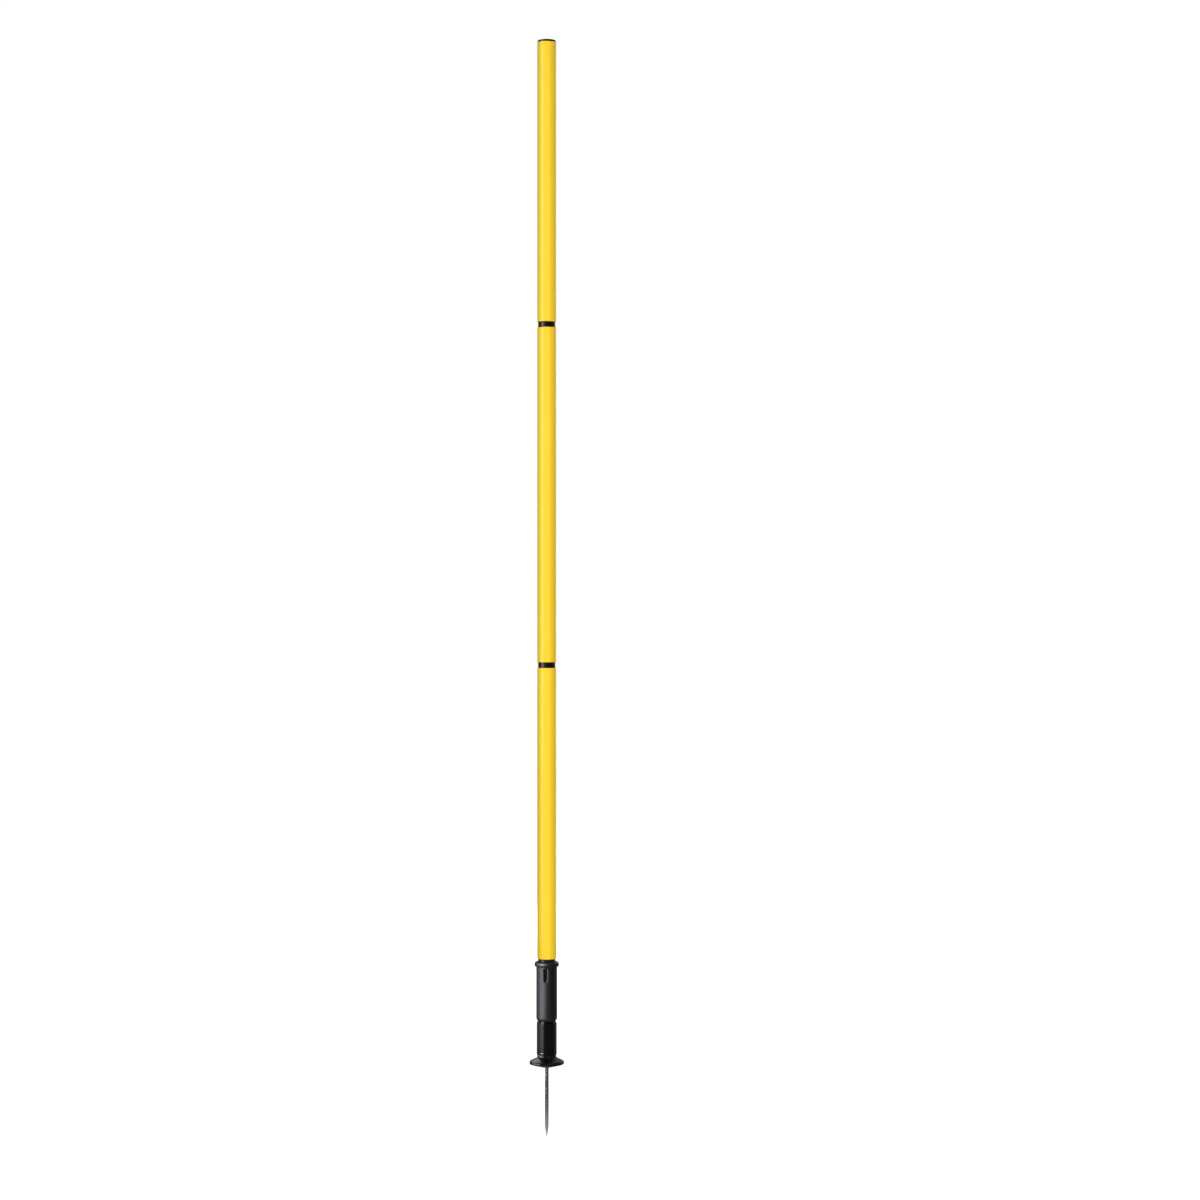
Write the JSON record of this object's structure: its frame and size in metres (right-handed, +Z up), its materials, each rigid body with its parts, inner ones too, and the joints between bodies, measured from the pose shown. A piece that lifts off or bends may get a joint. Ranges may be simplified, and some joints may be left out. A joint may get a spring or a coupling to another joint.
{
  "type": "slalom pole",
  "caption": "Sectional push-together slalom pole with recessed dark joint bands, a capped top, a slotted socket and a spring-flexing base on a round foot with a steel ground spike.",
  "frame": {"origin": "on the pole's axis at ground level, in the plane of the foot's flat underside, with the spike below it in the turf", "axes": "+Z up along the pole, -Y out of the socket's slot (the side that faces the camera in the picture), +X to the right"},
  "size_m": [0.0548, 0.0548, 1.7393],
  "materials": {
    "tube_yellow": "satin",
    "fitting_black": "satin",
    "sleeve_black": "matte",
    "boot_black": "gloss",
    "foot_black": "satin",
    "steel": "polished"
  },
  "bodies": {
    "foot": {"spike": "steel", "spike_washer": "steel", "foot_flange": "foot_black", "foot_pin": "steel", "lower_spring_plug": "fitting_black"},
    "flex": {"return_spring": "steel", "boot": "boot_black"},
    "socket": {"upper_spring_plug": "fitting_black", "socket_sleeve": "sleeve_black", "socket_washer": "steel", "socket_screw": "steel"},
    "lower_section": {"foot_ferrule": "fitting_black", "lower_tube": "tube_yellow", "lower_connector": "fitting_black"},
    "middle_section": {"middle_tube": "tube_yellow", "upper_connector": "fitting_black"},
    "top_section": {"top_tube": "tube_yellow", "top_cap": "fitting_black"}
  },
  "joints": [
    {"name": "lean_sideways", "type": "hinge", "parent": "foot", "child": "flex", "pos_m": [0, 0, 0.0476], "axis": [0, 1, 0], "range_deg": [-45, 45], "stiffness_Nm_per_rad": 25, "deforming": ["return_spring", "boot"]},
    {"name": "lean_forward", "type": "hinge", "parent": "flex", "child": "socket", "pos_m": [0, 0, 0.0476], "axis": [1, 0, 0], "range_deg": [-45, 45], "stiffness_Nm_per_rad": 25, "deforming": ["return_spring", "boot"]},
    {"name": "socket_pull", "type": "slide", "parent": "socket", "child": "lower_section", "axis": [0, 0, 1], "range_m": [0, 0.1]},
    {"name": "middle_pull", "type": "slide", "parent": "lower_section", "child": "middle_section", "axis": [0, 0, 1], "range_m": [0, 0.06]},
    {"name": "top_pull", "type": "slide", "parent": "middle_section", "child": "top_section", "axis": [0, 0, 1], "range_m": [0, 0.06]}
  ]
}
